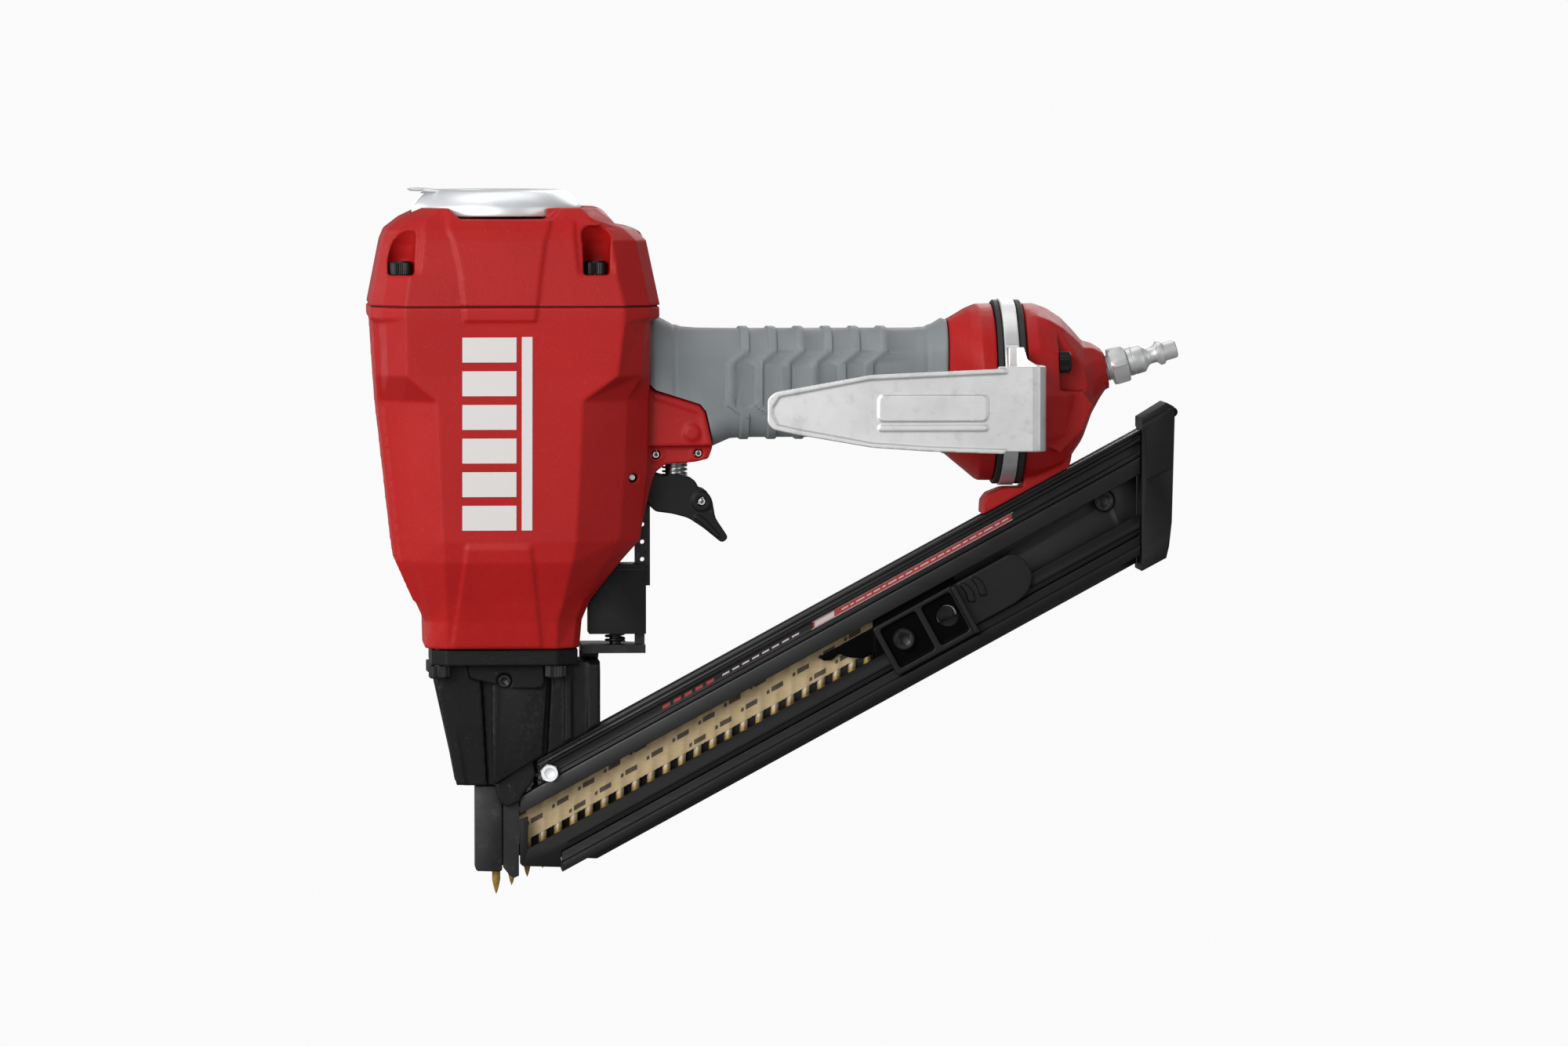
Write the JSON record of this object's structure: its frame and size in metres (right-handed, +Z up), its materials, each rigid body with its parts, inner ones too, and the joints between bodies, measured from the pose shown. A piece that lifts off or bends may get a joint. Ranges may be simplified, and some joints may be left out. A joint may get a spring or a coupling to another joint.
{
  "type": "pneumatic nail gun",
  "caption": "Air-powered metal-connector nail gun with a red cast body, grey rubber grip, belt hook, angled side-loading magazine and a loaded nail strip.",
  "frame": {"origin": "centre of the hand grip, where a hand holds the tool", "axes": "+X from the nose towards the air plug, along the grip; +Y away from the belt hook side; +Z up, opposite to the driving direction"},
  "size_m": [0.3261, 0.1088, 0.2828],
  "materials": {
    "red_casting": "fine-textured red powder coat on a light-alloy casting",
    "grip_rubber": "matte grey moulded rubber",
    "seal_rubber": "matte black seal rubber",
    "zinc_plated_steel": "bright zinc plate",
    "hook_steel": "tumbled, plated pressing with worn edges",
    "plated_fitting": "nickel-plated turned steel",
    "black_plastic": "satin black glass-filled plastic",
    "machined_aluminium": "turned",
    "bare_steel": "ground",
    "spring_steel": "drawn wire",
    "black_spring": "blackened wire",
    "black_casting": "satin black paint on a light-alloy casting",
    "black_steel": "phosphated black steel",
    "black_fastener": "black oxide socket screw",
    "black_anodised": "black anodised extrusion",
    "coated_nail": "gold adhesive coating on steel",
    "nail_and_paper": "coated nails in a kraft paper tape"
  },
  "bodies": {
    "tool_body": {"air_plug": "plated_fitting", "bumper": "seal_rubber", "cap_bolt_front_left": "black_fastener", "cap_bolt_front_right": "black_fastener", "cap_bolt_rear_left": "black_fastener", "cap_bolt_rear_right": "black_fastener", "cap_gasket": "seal_rubber", "cylinder_seal_lower": "seal_rubber", "cylinder_seal_upper": "seal_rubber", "cylinder_sleeve": "machined_aluminium", "deflector_screw": "black_fastener", "end_cap": "red_casting", "end_cap_bolt_far": "black_fastener", "end_cap_bolt_near": "black_fastener", "grip_sleeve": "grip_rubber", "magazine_end_cap": "black_plastic", "magazine_face_plate": "black_anodised", "magazine_far_plate": "black_anodised", "magazine_front_bolt": "zinc_plated_steel", "magazine_front_guide": "black_anodised", "magazine_lower_rail": "black_anodised", "magazine_rear_bolt": "black_fastener", "magazine_top_rail": "black_anodised", "main_housing": "red_casting", "nail_strip": "nail_and_paper", "nose_block": "black_steel", "nose_bolt_front_left": "black_fastener", "nose_bolt_front_right": "black_fastener", "nose_bolt_rear_left": "black_fastener", "nose_bolt_rear_right": "black_fastener", "nose_casting": "black_casting", "nose_cover_plate": "black_casting", "nose_cover_screw": "black_fastener", "ring_gasket_front": "seal_rubber", "ring_gasket_rear": "seal_rubber", "safety_guard": "black_plastic", "top_cap": "red_casting", "trigger_pivot_pin": "bare_steel", "trigger_valve_body": "machined_aluminium", "valve_roll_pin_front": "bare_steel", "valve_roll_pin_rear": "bare_steel"},
    "deflector": {"exhaust_deflector": "zinc_plated_steel"},
    "head_valve_body": {"head_valve": "black_plastic", "head_valve_spring": "spring_steel"},
    "piston_and_driver": {"piston": "machined_aluminium", "piston_seal": "seal_rubber", "driver_blade": "bare_steel"},
    "nail_in_nose": {"first_nail": "coated_nail"},
    "hook": {"belt_hook": "hook_steel"},
    "trigger_body": {"trigger": "black_plastic", "trigger_lever_pin": "bare_steel"},
    "lever_body": {"trigger_lever": "black_steel"},
    "valve_stem_body": {"trigger_valve_stem": "bare_steel", "trigger_valve_spring": "spring_steel"},
    "safety_body": {"safety_contact": "black_steel", "safety_spring": "black_spring"},
    "pusher_body": {"pusher": "black_plastic", "pusher_bolt": "black_fastener", "pusher_coil_spring": "spring_steel"}
  },
  "joints": [
    {"name": "trigger_pull", "type": "hinge", "parent": "tool_body", "child": "trigger_body", "pos_m": [-0.0667, 0, -0.0373], "axis": [0, -1, 0], "range_deg": [0, 9], "stiffness_Nm_per_rad": 0.3, "springref_deg": -11.46},
    {"name": "valve_stem_lift", "type": "slide", "parent": "tool_body", "child": "valve_stem_body", "axis": [0, 0, 1], "range_m": [0, 0.0028], "deforming": ["trigger_valve_spring"]},
    {"name": "safety_lift", "type": "slide", "parent": "tool_body", "child": "safety_body", "axis": [0, 0, 1], "range_m": [0, 0.004], "stiffness_N_per_m": 200, "springref_m": -0.01, "deforming": ["safety_spring"]},
    {"name": "trigger_lever_tilt", "type": "hinge", "parent": "trigger_body", "child": "lever_body", "pos_m": [-0.0383, 0, -0.0475], "axis": [0, 1, 0], "range_deg": [0, 11.5]},
    {"name": "driver_stroke", "type": "slide", "parent": "tool_body", "child": "piston_and_driver", "axis": [0, 0, -1], "range_m": [0, 0.059]},
    {"name": "nail_drive", "type": "slide", "parent": "tool_body", "child": "nail_in_nose", "axis": [0, 0, -1], "range_m": [0, 0.0295]},
    {"name": "head_valve_lift", "type": "slide", "parent": "tool_body", "child": "head_valve_body", "axis": [0, 0, 1], "range_m": [0, 0.005], "stiffness_N_per_m": 500, "springref_m": -0.01, "deforming": ["head_valve_spring"]},
    {"name": "pusher_slide", "type": "slide", "parent": "tool_body", "child": "pusher_body", "axis": [0.8788, 0, 0.4772], "range_m": [0, 0.045], "stiffness_N_per_m": 20, "springref_m": -0.2},
    {"name": "hook_swing", "type": "hinge", "parent": "tool_body", "child": "hook", "pos_m": [0.0842, 0, -0.0041], "axis": [-1, 0, 0], "range_deg": [0, 180]},
    {"name": "deflector_turn", "type": "hinge", "parent": "tool_body", "child": "deflector", "pos_m": [-0.1206, 0, 0.072], "axis": [0, 0, 1], "continuous": true}
  ],
  "couplings": [
    {"joint": "valve_stem_lift", "follows": "trigger_pull", "m_per_rad": 0.0178},
    {"joint": "trigger_lever_tilt", "follows": "safety_lift", "rad_per_m": 50},
    {"joint": "nail_drive", "follows": "driver_stroke", "ratio": 0.5}
  ]
}
